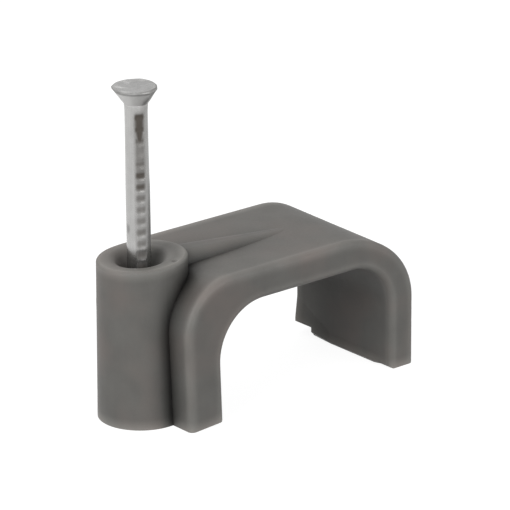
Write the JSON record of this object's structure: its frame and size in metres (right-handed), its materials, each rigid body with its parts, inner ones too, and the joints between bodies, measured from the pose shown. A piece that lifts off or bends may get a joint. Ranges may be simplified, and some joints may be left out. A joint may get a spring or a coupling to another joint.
{
  "type": "nail-in cable clip",
  "caption": "Square-shouldered plastic saddle for one flat cable, with a countersunk nail held in a boss at one side, ready to be driven into a wall.",
  "frame": {"origin": "the nail's axis where it meets the wall face, in the plane of the boss's base and the two feet", "axes": "+X along the strap, from the boss to the far leg; +Y along the cable; +Z out of the wall, towards the nail's head"},
  "size_m": [0.0293, 0.0126, 0.0294],
  "materials": {
    "grey_plastic": "smooth moulded grey plastic with a faint satin sheen",
    "plated_steel": "dull zinc plating over hardened steel"
  },
  "bodies": {
    "clip": {"clip_body": "grey_plastic"},
    "nail": {"nail": "plated_steel"}
  },
  "joints": [
    {"name": "nail_drive", "type": "slide", "parent": "clip", "child": "nail", "axis": [0, 0, -1], "range_m": [0, 0.01537]}
  ]
}
